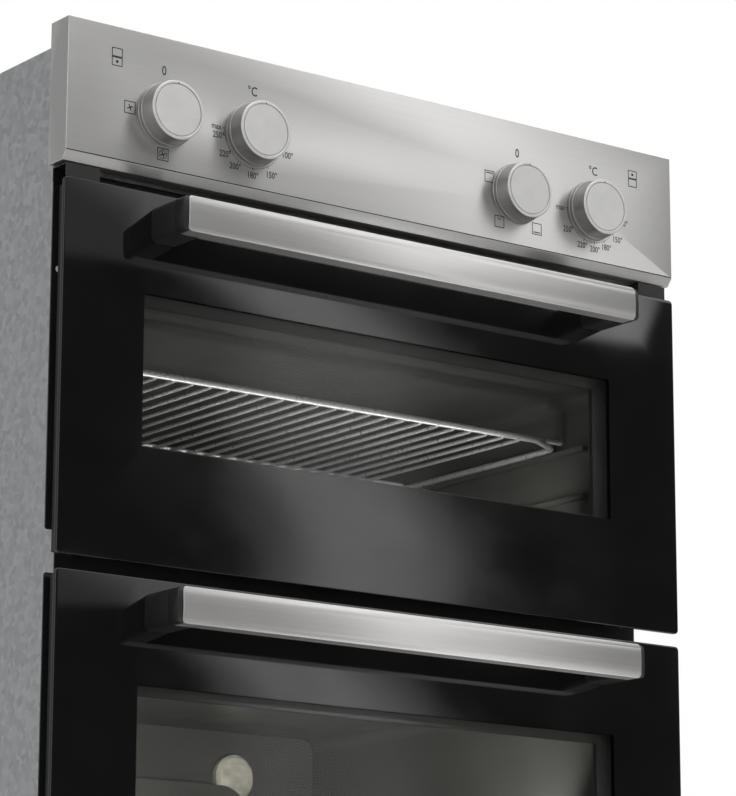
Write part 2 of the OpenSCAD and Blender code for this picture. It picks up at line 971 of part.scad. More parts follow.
module top_rail(z1) {
    difference() {
        block(-column_x0, column_x0, glass_t, door_t, z1 - rail_h, z1 - 2);
        block(-column_x0 + door_sheet, column_x0 - door_sheet, glass_t + door_sheet,
            door_t - door_sheet, z1 - rail_h + door_sheet, z1 - 2 - door_sheet);
        for (x = [-200:20:200])
            block(x - 6, x + 6, glass_t + 4, door_t - 4, z1 - 5, z1);
    }
}

module bottom_rail(z0) {
    difference() {
        block(-column_x0, column_x0, glass_t, door_t, z0 + 4, z0 + rail_h + 2);
        block(-column_x0 + door_sheet, column_x0 - door_sheet, glass_t + door_sheet,
            door_t - door_sheet, z0 + 4 + door_sheet, z0 + rail_h + 2 - door_sheet);
        for (x = [-200:40:200])
            block(x - 10, x + 10, glass_t + 4, door_t - 4, z0, z0 + 7);
    }
}

// Handle section in depth and height: bowed front and rounded edges
module handle_outline(z, inset) {
    bow_r = 90;
    intersection() {
        translate([-handle_reach + handle_t / 2, z - handle_h + inset])
            rounded_rect(handle_t - 2 * inset, handle_h - 2 * inset, 2.5 - inset / 2);
        translate([-handle_reach + bow_r + inset, z - handle_h / 2])
            circle(r = bow_r, $fn = 180);
    }
}

module handle_bar(z1) {
    x = handle_w / 2 - cap_t;
    z = z1 - handle_down;
    difference() {
        along_x(-x, x)
            handle_outline(z, 0);
        along_x(-x - eps, x + eps)
            handle_outline(z, handle_wall);
    }
}

module handle_posts(z1) {
    x1 = handle_w / 2;
    z = z1 - handle_down;
    back = -handle_reach + handle_t;
    both_sides()
    union() {
        along_x(x1 - cap_t, x1)
            handle_outline(z, 0);
        block(x1 - cap_t, x1, back - 3, 0, z - handle_h + 0.3, z - 0.3);
        block(x1 - post_w, x1, back, 0, z - handle_h + 0.3, z - 0.3);
    }
}

module upper_door_glass() {
    color("#181818")
        door_glass(upper_z0, upper_z1);
}

module lower_door_glass() {
    color("#181818")
        door_glass(lower_z0, lower_z1);
}

module upper_door_inner_glass() {
    color("lightgray")
        inner_glass(upper_z0, upper_z1);
}

module lower_door_inner_glass() {
    color("lightgray")
        inner_glass(lower_z0, lower_z1);
}

module upper_door_columns() {
    color("#2a2a2a")
        columns(upper_z0, upper_z1);
}

module lower_door_columns() {
    color("#2a2a2a")
        columns(lower_z0, lower_z1);
}

module upper_door_top_rail() {
    color("#2a2a2a")
        top_rail(upper_z1);
}

module lower_door_top_rail() {
    color("#2a2a2a")
        top_rail(lower_z1);
}

module upper_door_bottom_rail() {
    color("#2a2a2a")
        bottom_rail(upper_z0);
}

module lower_door_bottom_rail() {
    color("#2a2a2a")
        bottom_rail(lower_z0);
}

module upper_handle_bar() {
    color("lightgray")
        handle_bar(upper_z1);
}

module lower_handle_bar() {
    color("lightgray")
        handle_bar(lower_z1);
}

module upper_handle_posts() {
    color("#303030")
        handle_posts(upper_z1);
}

module lower_handle_posts() {
    color("#303030")
        handle_posts(lower_z1);
}

module upper_hinge_leaves() {
    color("lightsteelblue")
        hinge_leaves(upper_pivot_z);
}

module lower_hinge_leaves() {
    color("lightsteelblue")
        hinge_leaves(lower_pivot_z);
}

base_tray();
left_side_panel();
right_side_panel();
top_cover();
rear_panel();
upper_front_frame();
fascia_brackets();
lower_front_frame();
divider_channel();
bottom_trim();
control_panel();
switch_bracket();
knob_bezels();
selector_switches();
thermostats();
upper_cavity();
lower_cavity();
upper_insulation();
lower_insulation();
upper_door_seal();
lower_door_seal();
roof_element();
floor_element();
ring_element();
fan_baffle();
fan_motor();
lamp_holders();
lamp_lenses();
cooling_duct();
cooling_fan_housing();
cooling_fan_motor();
terminal_block();
hinge_arms();
hinge_pins();
casing_screws();
convection_fan();
cooling_fan_rotor();
lower_selector_knob();
lower_thermostat_knob();
upper_selector_knob();
upper_thermostat_knob();
upper_shelf();
lower_shelf();
baking_tray();
upper_door_glass();
upper_door_inner_glass();
upper_door_columns();
upper_door_top_rail();
upper_door_bottom_rail();
upper_handle_bar();
upper_handle_posts();
upper_hinge_leaves();
lower_door_glass();
lower_door_inner_glass();
lower_door_columns();
lower_door_top_rail();
lower_door_bottom_rail();
lower_handle_bar();
lower_handle_posts();
lower_hinge_leaves();
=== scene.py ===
"""Looks of the built-in double oven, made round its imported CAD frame. Units are metres."""
import math

import bmesh
import bpy
from mathutils import Matrix, Vector


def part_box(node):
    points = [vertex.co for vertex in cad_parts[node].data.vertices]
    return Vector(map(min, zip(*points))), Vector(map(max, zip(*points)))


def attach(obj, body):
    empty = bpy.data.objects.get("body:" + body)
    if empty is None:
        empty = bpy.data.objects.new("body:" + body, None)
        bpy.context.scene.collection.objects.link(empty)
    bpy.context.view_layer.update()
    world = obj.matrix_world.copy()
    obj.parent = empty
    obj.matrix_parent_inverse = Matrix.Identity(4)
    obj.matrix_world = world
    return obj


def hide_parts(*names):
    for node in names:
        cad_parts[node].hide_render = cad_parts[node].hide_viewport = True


MM = 0.001
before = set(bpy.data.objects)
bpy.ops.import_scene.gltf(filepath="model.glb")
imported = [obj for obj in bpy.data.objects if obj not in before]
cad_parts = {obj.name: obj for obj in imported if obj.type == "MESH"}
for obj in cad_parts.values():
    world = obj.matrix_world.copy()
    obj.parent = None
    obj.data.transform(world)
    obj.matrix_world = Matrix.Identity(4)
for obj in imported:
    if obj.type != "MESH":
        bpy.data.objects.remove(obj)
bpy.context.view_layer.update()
scene = bpy.context.scene


# ---------------------------------------------------------------- camera

def make_camera():
    """A long lens, low and left of the front, tilted up. Angles are in radians."""
    heading, tilt, roll = 0.6438, 0.2305, 0.0025
    sideways, ahead, height = -1.5452, 2.0328, 0.040
    sensor_mm, focal_mm = 36, 153.3
    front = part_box("upper_door_glass")[0].y
    data = bpy.data.cameras.new("camera")
    data.sensor_width = sensor_mm
    data.lens = focal_mm
    camera = bpy.data.objects.new("camera", data)
    turn = (Matrix.Rotation(-heading, 4, "Z") @ Matrix.Rotation(math.pi / 2 + tilt, 4, "X")
            @ Matrix.Rotation(roll, 4, "Z"))
    camera.matrix_world = Matrix.Translation((sideways, front - ahead, height)) @ turn
    scene.collection.objects.link(camera)
    scene.camera = camera


make_camera()


# ---------------------------------------------------------------- shader tools

def srgb(code):
    """Linear colour of an sRGB hex value."""
    shares = [int(code[i:i + 2], 16) / 255 for i in (1, 3, 5)]
    return [s / 12.92 if s <= 0.04045 else ((s + 0.055) / 1.055) ** 2.4 for s in shares] + [1.0]


def add(tree, kind, inputs=None, stops=None, **settings):
    """Adds a shader node. An input is a value or another node's output; stops fill a ramp."""
    node = tree.nodes.new(kind)
    for name, value in settings.items():
        setattr(node, name, value)
    for name, value in (inputs or {}).items():
        if isinstance(value, bpy.types.NodeSocket):
            tree.links.new(value, node.inputs[name])
        else:
            node.inputs[name].default_value = value
    for i, (position, colour) in enumerate(stops or []):
        ramp = node.color_ramp.elements
        stop = ramp[i] if i < 2 else ramp.new(position)
        stop.position = position
        stop.color = colour
    return node


def begin(name, **shader_values):
    """A new material: itself, its node tree, its shader and Object coordinates in metres."""
    material = bpy.data.materials.new(name)
    material.use_nodes = True
    tree = material.node_tree
    tree.nodes.clear()
    shader = add(tree, "ShaderNodeBsdfPrincipled",
                 {key.replace("_", " "): value for key, value in shader_values.items()})
    add(tree, "ShaderNodeOutputMaterial", {"Surface": shader.outputs["BSDF"]})
    place = add(tree, "ShaderNodeTexCoord").outputs["Object"]
    return material, tree, shader, place


def per_mm(size):
    """Texture scale that gives a pattern of this size in millimetres."""
    return 1 / (size * MM)


def join(tree, shader, socket, source):
    """Feeds one of a shader's inputs from another node's output."""
    tree.links.new(source, shader.inputs[socket])


def grain(tree, place, sizes, detail=3.0, seed=0.0):
    """Noise whose blotches measure these sizes in millimetres along X, Y and Z."""
    stretched = add(tree, "ShaderNodeMapping", {
        "Vector": place, "Location": (seed, seed, seed),
        "Scale": tuple(per_mm(size) for size in sizes)})
    return add(tree, "ShaderNodeTexNoise", {
        "Vector": stretched.outputs["Vector"], "Scale": 1.0, "Detail": detail}).outputs["Fac"]


def spread(tree, source, low, high, start=0.3, end=0.7):
    """Turns noise into a value that runs from low to high."""
    return add(tree, "ShaderNodeMapRange", {
        "Value": source, "From Min": start, "From Max": end,
        "To Min": low, "To Max": high}).outputs["Result"]


def tint(tree, source, dark, light, start=0.3, end=0.7):
    """Turns noise into a colour between two hex colours."""
    return add(tree, "ShaderNodeValToRGB", {"Fac": source},
               stops=[(start, srgb(dark)), (end, srgb(light))]).outputs["Color"]


def relief(tree, source, depth_mm):
    """Surface relief from a height pattern of this depth in millimetres."""
    return add(tree, "ShaderNodeBump", {
        "Height": source, "Distance": depth_mm * MM, "Strength": 1.0}).outputs["Normal"]


# ---------------------------------------------------------------- materials

def brushed_steel(name, dark, light, rough_low, rough_high, anisotropy):
    """Stainless sheet brushed along its length: streaks along X and a highlight stretched across them.

    Real brush lines are about 0.1 mm wide; they are drawn 0.9 mm wide so that they show."""
    material, tree, shader, place = begin(name, Metallic=1.0, Anisotropic=anisotropy,
                                          Anisotropic_Rotation=0.25)
    lines = grain(tree, place, (120, 0.9, 0.9), detail=4)
    clouds = grain(tree, place, (90, 60, 60), detail=2, seed=3.0)
    join(tree, shader, "Base Color", tint(tree, lines, dark, light))
    smudge = spread(tree, clouds, rough_low, rough_high)
    scratch = spread(tree, lines, -0.006, 0.006)
    rough = add(tree, "ShaderNodeMath", {0: smudge, 1: scratch}, operation="ADD")
    join(tree, shader, "Roughness", rough.outputs["Value"])
    join(tree, shader, "Normal", relief(tree, lines, 0.0006))
    brush_way = add(tree, "ShaderNodeCombineXYZ", {"X": 1.0, "Y": 0.0, "Z": 0.0})
    join(tree, shader, "Tangent", brush_way.outputs["Vector"])
    return material


def silver_paint(name, dark, light, metallic):
    """Moulded plastic sprayed with aluminium paint: fine flakes under a satin clear coat."""
    material, tree, shader, place = begin(name, Metallic=metallic)
    flakes = grain(tree, place, (0.35, 0.35, 0.35))
    wear = grain(tree, place, (14, 14, 14), detail=2, seed=5.0)
    join(tree, shader, "Base Color", tint(tree, wear, dark, light))
    join(tree, shader, "Roughness", spread(tree, flakes, 0.38, 0.50))
    join(tree, shader, "Normal", relief(tree, flakes, 0.004))
    return material


def galvanised_sheet():
    """Hot-dip galvanised steel: frost-like zinc crystals about 5 mm across, each a little different."""
    material, tree, shader, place = begin("galvanised_sheet", Metallic=0.95)
    crystals = add(tree, "ShaderNodeTexVoronoi", {
        "Vector": place, "Scale": per_mm(5), "Randomness": 1.0}).outputs["Color"]
    shade = add(tree, "ShaderNodeSeparateColor", {"Color": crystals}).outputs["Red"]
    streaks = grain(tree, place, (4, 4, 4), seed=2.0)
    join(tree, shader, "Base Color", tint(tree, shade, "#afb2b4", "#c4c6c8", 0.0, 1.0))
    gloss = spread(tree, shade, 0.40, 0.50, 0.0, 1.0)
    rough = add(tree, "ShaderNodeMath", {0: gloss, 1: spread(tree, streaks, -0.05, 0.05)},
                operation="ADD")
    join(tree, shader, "Roughness", rough.outputs["Value"])
    join(tree, shader, "Normal", relief(tree, streaks, 0.012))
    return material


def zinc_plate():
    """Clear-passivated zinc plating on hinge parts and screws: bright, with a faint yellow bloom."""
    material, tree, shader, place = begin("zinc_plate", Metallic=1.0)
    bloom = grain(tree, place, (12, 12, 12), detail=2)
    fine = grain(tree, place, (0.6, 0.6, 0.6))
    join(tree, shader, "Base Color", tint(tree, bloom, "#b4b8bd", "#cfcab8"))
    join(tree, shader, "Roughness", spread(tree, fine, 0.24, 0.40))
    join(tree, shader, "Normal", relief(tree, fine, 0.02))
    return material


def powder_coat(name, dark, light, rough, peel_mm):
    """Powder-coated sheet: baked polyester with a fine orange peel."""
    material, tree, shader, place = begin(name, Specular_IOR_Level=0.45)
    peel = grain(tree, place, (peel_mm, peel_mm, peel_mm), detail=2)
    dust = grain(tree, place, (35, 35, 35), detail=4, seed=7.0)
    join(tree, shader, "Base Color", tint(tree, dust, dark, light))
    join(tree, shader, "Roughness", spread(tree, dust, rough - 0.05, rough + 0.08))
    join(tree, shader, "Normal", relief(tree, peel, 0.05))
    return material


def speckled_enamel(name, ground, speck, rough):
    """Vitreous enamel fired on steel: glassy, slightly wavy, with pale specks about 1 mm apart."""
    material, tree, shader, place = begin(name, Coat_Weight=0.25, Coat_Roughness=0.1)
    cells = add(tree, "ShaderNodeTexVoronoi", {"Vector": place, "Scale": per_mm(1.4)})
    clouds = grain(tree, place, (45, 45, 45), detail=3)
    waves = grain(tree, place, (9, 9, 9), detail=1, seed=4.0)
    flecks = add(tree, "ShaderNodeValToRGB", {"Fac": cells.outputs["Distance"]},
                 stops=[(0.10, srgb(speck)), (0.20, srgb(ground))])
    shade = spread(tree, clouds, 0.94, 1.06)
    mixed = add(tree, "ShaderNodeVectorMath", {0: flecks.outputs["Color"], 1: shade},
                operation="MULTIPLY")
    join(tree, shader, "Base Color", mixed.outputs["Vector"])
    join(tree, shader, "Roughness", spread(tree, clouds, rough - 0.04, rough + 0.08))
    join(tree, shader, "Normal", relief(tree, waves, 0.02))
    return material


def printed_glass(name, dark, light):
    """Toughened soda-lime glass over fired ceramic ink: a deep colour with a clean wet gloss."""
    material, tree, shader, place = begin(name, IOR=1.52)
    film = grain(tree, place, (70, 70, 50), detail=3)
    waves = grain(tree, place, (160, 160, 120), detail=0, seed=6.0)
    join(tree, shader, "Base Color", tint(tree, film, dark, light))
    join(tree, shader, "Roughness", spread(tree, film, 0.04, 0.09))
    join(tree, shader, "Normal", relief(tree, waves, 0.02))
    return material


def clear_glass(name, body, see_through):
    """Toughened glass left unprinted: seen through, and a little darker than open air."""
    material, tree, shader, place = begin(name, IOR=1.52, Alpha=see_through)
    film = grain(tree, place, (60, 60, 40), detail=3)
    join(tree, shader, "Base Color", tint(tree, film, "#050505", body))
    join(tree, shader, "Roughness", spread(tree, film, 0.03, 0.07))
    return material


def seal_rubber():
    """Silicone door seal: matt black, faintly dusty."""
    material, tree, shader, place = begin("seal_rubber", Specular_IOR_Level=0.3)
    fine = grain(tree, place, (0.8, 0.8, 0.8))
    join(tree, shader, "Base Color", tint(tree, fine, "#151515", "#26262a"))
    join(tree, shader, "Roughness", spread(tree, fine, 0.6, 0.8))
    join(tree, shader, "Normal", relief(tree, fine, 0.05))
    return material


def moulded_plastic(name, dark, light, rough):
    """Glass-filled nylon or PBT moulding: fine spark-eroded grain."""
    material, tree, shader, place = begin(name, IOR=1.5)
    fine = grain(tree, place, (0.7, 0.7, 0.7))
    tone = grain(tree, place, (25, 25, 25), detail=2, seed=8.0)
    join(tree, shader, "Base Color", tint(tree, tone, dark, light))
    join(tree, shader, "Roughness", spread(tree, fine, rough - 0.06, rough + 0.06))
    join(tree, shader, "Normal", relief(tree, fine, 0.03))
    return material


def heater_sheath():
    """Nickel alloy heater tube, oxidised by heat: dark, with brown and blue patches."""
    material, tree, shader, place = begin("element_steel", Metallic=0.9)
    patches = grain(tree, place, (18, 18, 18), detail=3)
    join(tree, shader, "Base Color", tint(tree, patches, "#3a3836", "#6a5f55"))
    join(tree, shader, "Roughness", spread(tree, patches, 0.38, 0.62))
    join(tree, shader, "Normal", relief(tree, grain(tree, place, (1, 1, 1)), 0.02))
    return material


def bright_wire():
    """Drawn steel wire, satin nickel plated: pale, with fine drawing marks."""
    material, tree, shader, place = begin("shelf_chrome", Metallic=0.6)
    marks = grain(tree, place, (3, 3, 3), detail=3)
    join(tree, shader, "Base Color", tint(tree, marks, "#e2e2e0", "#f0f0ee"))
    join(tree, shader, "Roughness", spread(tree, marks, 0.26, 0.34))
    join(tree, shader, "Normal", relief(tree, marks, 0.002))
    return material


def mineral_wool():
    """Mineral wool blanket: tangled pale fibres in clumps."""
    material, tree, shader, place = begin("wool", Sheen_Weight=0.3, Roughness=0.95)
    fibres = grain(tree, place, (14, 2, 2), detail=5)
    clumps = grain(tree, place, (22, 22, 22), detail=2, seed=9.0)
    join(tree, shader, "Base Color", tint(tree, fibres, "#9c9272", "#d8cfae"))
    height = add(tree, "ShaderNodeMath", {0: fibres, 1: clumps}, operation="ADD")
    join(tree, shader, "Normal", relief(tree, height.outputs["Value"], 1.2))
    return material


def lamp_glass():
    """Pressed heat-proof glass of the oven lamps: milky, with fine optic ribs."""
    material, tree, shader, place = begin("lamp_glass", IOR=1.47)
    ribs = add(tree, "ShaderNodeTexWave", {"Vector": place, "Scale": per_mm(3) / (2 * math.pi)},
               bands_direction="Z")
    cloud = grain(tree, place, (10, 10, 10), detail=2)
    join(tree, shader, "Base Color", tint(tree, cloud, "#b9b5a4", "#dcd8c8"))
    join(tree, shader, "Roughness", spread(tree, cloud, 0.06, 0.14))
    join(tree, shader, "Normal", relief(tree, ribs.outputs["Fac"], 0.3))
    return material


def cast_metal(name, dark, light, metallic):
    """Pressed or cast light alloy: matt grey with handling marks."""
    material, tree, shader, place = begin(name, Metallic=metallic)
    marks = grain(tree, place, (6, 6, 6), detail=4)
    join(tree, shader, "Base Color", tint(tree, marks, dark, light))
    join(tree, shader, "Roughness", spread(tree, marks, 0.34, 0.55))
    join(tree, shader, "Normal", relief(tree, marks, 0.03))
    return material


# The finish of each of the part's material slots.
FINISHES = {
    "galvanised_sheet": galvanised_sheet(),
    "zinc_plate": zinc_plate(),
    "black_sheet": powder_coat("black_sheet", "#141415", "#1d1d1e", 0.42, 1.0),
    "frame_enamel": speckled_enamel("frame_enamel", "#1d1d1e", "#34343a", 0.25),
    "cavity_enamel": speckled_enamel("cavity_enamel", "#4c4c48", "#5f5f59", 0.36),
    "tray_enamel": speckled_enamel("tray_enamel", "#1c1d20", "#55575c", 0.22),
    "fascia_steel": brushed_steel("fascia_steel", "#c6c5c4", "#cac9c8", 0.34, 0.36, 0.9),
    "handle_steel": brushed_steel("handle_steel", "#c1c0bf", "#c8c7c6", 0.33, 0.36, 0.9),
    "knob_silver": silver_paint("knob_silver", "#d3d2d0", "#d9d8d6", 0.4),
    "bezel_silver": silver_paint("bezel_silver", "#8f8e8c", "#9a9997", 0.9),
    "switch_plastic": moulded_plastic("switch_plastic", "#dcdad2", "#efede6", 0.45),
    "door_glass": printed_glass("door_glass", "#0d0d0e", "#121213"),
    "inner_glass": clear_glass("inner_glass", "#0a0b0a", 0.10),
    "lamp_glass": lamp_glass(),
    "lamp_ceramic": moulded_plastic("lamp_ceramic", "#e6e3da", "#f6f4ee", 0.20),
    "seal_rubber": seal_rubber(),
    "element_steel": heater_sheath(),
    "shelf_chrome": bright_wire(),
    "handle_black": moulded_plastic("handle_black", "#1b1b1c", "#262627", 0.38),
    "wool": mineral_wool(),
    "motor_metal": cast_metal("motor_metal", "#6d6f70", "#8d8f90", 0.8),
    "rotor_aluminium": cast_metal("rotor_aluminium", "#a9abac", "#c4c5c6", 1.0),
}
# Finishes that only some faces or marks of a piece have.
WINDOW_GLASS = clear_glass("window_glass", "#080908", 0.12)
INNER_PRINT = printed_glass("inner_print", "#565755", "#5d5e5c")
# A darker, more metallic copy of the knob silver for the knobs' turned sides: painted shade, so each
# side reads darker than its face.
KNOB_SIDE_SHADED = silver_paint("knob_side_painted_shade", "#959492", "#a09f9d", 0.9)
DIAL_INK = powder_coat("dial_ink", "#1c1d1f", "#262729", 0.6, 0.5)

for cad_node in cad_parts.values():
    for part_slot in cad_node.material_slots:
        part_slot.material = FINISHES[part_slot.material.name]


# ---------------------------------------------------------------- mesh tools

def mount(piece, body, stands_for=()):
    """Ties a finished piece to its body and hides the CAD nodes it stands for."""
    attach(piece, body)
    if stands_for:
        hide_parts(*stands_for)
    return piece


CREASE = 30  # degrees


def to_object(name, bm, materials, crease=CREASE):
    """Makes an object of a bmesh, with smooth shading that breaks at edges sharper than crease."""
    for face in bm.faces:
        face.smooth = True
    mesh = bpy.data.meshes.new(name)
    bm.to_mesh(mesh)
    bm.free()
    mesh.set_sharp_from_angle(angle=math.radians(crease))
    for material in materials:
        mesh.materials.append(material)
    piece = bpy.data.objects.new(name, mesh)
    scene.collection.objects.link(piece)
    return piece


def block(bm, low, high):
    """Adds a box between two corners."""
    low, high = Vector(low), Vector(high)
    place = Matrix.Translation((low + high) / 2) @ Matrix.Diagonal((*(high - low), 1))
    bmesh.ops.create_cube(bm, size=1, matrix=place)


def take_in(bm, other):
    """Moves everything from another bmesh into this one."""
    mesh = bpy.data.meshes.new("part")
    other.to_mesh(mesh)
    other.free()
    bm.from_mesh(mesh)
    bpy.data.meshes.remove(mesh)


def along(edges, axis):
    """The edges that run along one axis."""
    return [e for e in edges
            if abs((e.verts[0].co - e.verts[1].co).normalized()[axis]) > 0.999]


def round_off(bm, edges, radius, segments):
    """Rounds edges over with a number of flats."""
    bmesh.ops.bevel(bm, geom=edges, offset=radius, offset_type="OFFSET", affect="EDGES",
                    segments=segments, profile=0.5, material=-1, clamp_overlap=True)


def spin_about_y(bm, outline, centre, segments=96):
    """Turns an outline of (radius, depth) points about an axis along Y."""
    verts = [bm.verts.new((centre[0] + r, centre[1] + d, centre[2])) for r, d in outline]
    edges = [bm.edges.new(pair) for pair in zip(verts, verts[1:])]
    bmesh.ops.spin(bm, geom=verts + edges, cent=centre, axis=(0, 1, 0), dvec=(0, 0, 0),
                   angle=math.tau, steps=segments, use_merge=True, use_duplicate=False)
    bmesh.ops.remove_doubles(bm, verts=bm.verts, dist=0.01 * MM)
    bmesh.ops.recalc_face_normals(bm, faces=bm.faces)


def set_modifiers(piece):
    """Turns a piece's modifiers into its mesh."""
    seen = piece.evaluated_get(bpy.context.evaluated_depsgraph_get())
    mesh = bpy.data.meshes.new_from_object(seen)
    piece.modifiers.clear()
    piece.data = mesh
    mesh.set_sharp_from_angle(angle=math.radians(CREASE))


def cut(piece, fill_cutter):
    """Cuts from a piece the solids that fill_cutter adds to a bmesh."""
    bm = bmesh.new()
    fill_cutter(bm)
    cutter = to_object("cutter", bm, [])
    saw = piece.modifiers.new("cut", "BOOLEAN")
    saw.operation = "DIFFERENCE"
    saw.solver = "EXACT"
    saw.object = cutter
    set_modifiers(piece)
    bpy.data.objects.remove(cutter)


def fillet(points, radius, closed=False, steps=6):
    """Rounds the corners of a run of points with arcs."""
    points = [Vector(p) for p in points]
    count = len(points)
    run = []
    for i, corner in enumerate(points):
        if not closed and i in (0, count - 1):
            run.append(corner)
            continue
        back = (points[i - 1] - corner).normalized()
        ahead = (points[(i + 1) % count] - corner).normalized()
        half = back.angle(ahead) / 2
        centre = corner + (back + ahead).normalized() * radius / math.sin(half)
        first = (corner + back * radius / math.tan(half) - centre).normalized()
        last = (corner + ahead * radius / math.tan(half) - centre).normalized()
        for step in range(steps + 1):
            run.append(centre + radius * first.slerp(last, step / steps))
    return run


def sheet_of(piece, thickness):
    """Gives a folded or pressed skin its thickness, inwards from the outer face."""
    wall = piece.modifiers.new("sheet", "SOLIDIFY")
    wall.thickness = thickness
    wall.offset = -1
    set_modifiers(piece)


def wires(name, runs, material):
    """A mesh of round wires. Each run is (points, radius, closed)."""
    curve = bpy.data.curves.new(name, "CURVE")
    curve.dimensions = "3D"
    curve.bevel_depth = MM
    curve.bevel_resolution = 3
    curve.use_fill_caps = True
    for points, radius, closed in runs:
        spline = curve.splines.new("POLY")
        spline.points.add(len(points) - 1)
        spline.use_cyclic_u = closed
        for target, point in zip(spline.points, points):
            target.co = (*point, 1)
            target.radius = radius / MM
    source = bpy.data.objects.new(name + "_path", curve)
    scene.collection.objects.link(source)
    bpy.context.view_layer.update()
    mesh = bpy.data.meshes.new_from_object(
        source.evaluated_get(bpy.context.evaluated_depsgraph_get()))
    bpy.data.objects.remove(source)
    bm = bmesh.new()
    bm.from_mesh(mesh)
    bmesh.ops.remove_doubles(bm, verts=bm.verts, dist=0.001 * MM)
    bmesh.ops.recalc_face_normals(bm, faces=bm.faces)
    return to_object(name, bm, [material], crease=50)


# ---------------------------------------------------------------- control fascia

SHEET = 1.0 * MM
SPINDLE_HOLE = 4.5 * MM
KNOBS = {"lower_selector_knob": "lower_selector", "lower_thermostat_knob": "lower_thermostat",
         "upper_selector_knob": "upper_selector", "upper_thermostat_knob": "upper_thermostat"}


def knob_axis(node):
    """Where a knob's spindle crosses the fascia, as x and z."""
    low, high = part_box(node)
    return (low.x + high.x) / 2, (low.z + high.z) / 2


def make_fascia():
    """Folded stainless fascia: soft folds, a crease above the sloped lower lip, returns at the ends."""
    low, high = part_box("control_panel")
    lip_rise, lip_run, fold_r = 6.5 * MM, 5 * MM, 0.6 * MM
    lip_depth, end_return, top_return = 15 * MM, 25 * MM, 14 * MM
    crease, crease_width = low.z + lip_rise + 0.4 * MM, 0.8 * MM
    crease_depth, shade_strip_depth = 0.5 * MM, 0.15 * MM
    bm = bmesh.new()
    block(bm, low, high)
    bmesh.ops.bisect_plane(
        bm, geom=bm.verts[:] + bm.edges[:] + bm.faces[:], clear_outer=True,
        plane_co=(0, low.y, low.z + lip_rise), plane_no=(0, -lip_rise, -lip_run))
    bmesh.ops.holes_fill(bm, edges=bm.edges, sides=0)
    bmesh.ops.delete(bm, geom=[f for f in bm.faces if f.normal.y > 0.9], context="FACES_ONLY")
    bmesh.ops.recalc_face_normals(bm, faces=bm.faces)
    folds = [e for e in bm.edges if len(e.link_faces) == 2]
    round_off(bm, folds, fold_r, 4)
    piece = to_object("fascia", bm, [FINISHES["fascia_steel"]])
    sheet_of(piece, SHEET)

    def openings(cutter):
        """The open underside and back, the crease and the holes for the spindles."""
        block(cutter, (low.x + end_return, low.y + lip_depth, low.z - SHEET),
              (high.x - end_return, high.y + SHEET, high.z - top_return))
        block(cutter, (low.x - SHEET, low.y - SHEET, crease),
              (high.x + SHEET, low.y + crease_depth, crease + crease_width))
        for node in KNOBS:
            x, z = knob_axis(node)
            hole = Matrix.Translation((x, low.y, z)) @ Matrix.Rotation(math.pi / 2, 4, "X")
            bmesh.ops.create_cone(cutter, cap_ends=True, segments=32, radius1=SPINDLE_HOLE,
                                  radius2=SPINDLE_HOLE, depth=6 * MM, matrix=hole)

    cut(piece, openings)
    mount(piece, "casing", ["control_panel"])
    # A thin black strip laid in the bottom of the crease's groove: painted shade that darkens the
    # crease line.
    bm = bmesh.new()
    block(bm, (low.x + SHEET, low.y + shade_strip_depth, crease),
          (high.x - SHEET, low.y + crease_depth, crease + crease_width))
    mount(to_object("fascia_crease_shade_strip", bm, [FINISHES["seal_rubber"]]), "casing")


def make_bezels():
    """Thin trim ring under each knob, with a rounded rim."""
    low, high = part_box("knob_bezels")
    rise, r = high.y - low.y, (high.z - low.z) / 2
    outline = [(SPINDLE_HOLE, 0), (SPINDLE_HOLE, -rise), (r - 1.2 * MM, -rise),
               (r - 0.4 * MM, -0.8 * rise), (r, -0.4 * rise), (r, 0), (SPINDLE_HOLE, 0)]
    bm = bmesh.new()
    for node in KNOBS:
        x, z = knob_axis(node)
        ring = bmesh.new()
        spin_about_y(ring, outline, (x, high.y, z), 64)
        take_in(bm, ring)
    piece = to_object("knob_trim_rings", bm, [FINISHES["bezel_silver"]])
    mount(piece, "casing", ["knob_bezels"])


# Turned outline of a knob in millimetres: the foot's flange, inwards from its edge and forwards
# from its back, then the groove, outwards from the rim and inwards from the front.
KNOB_FLANGE = ((0.3, 0), (0, 0.3), (0, 2.3), (0.35, 2.7), (0.75, 2.8), (0.8, 3.2))
KNOB_GROOVE = ((0.4, 0), (0.1, 0.2), (0, 1.2), (-0.8, 1.2), (-0.8, 0.3), (-1.0, 0.1), (-1.4, 0.1))


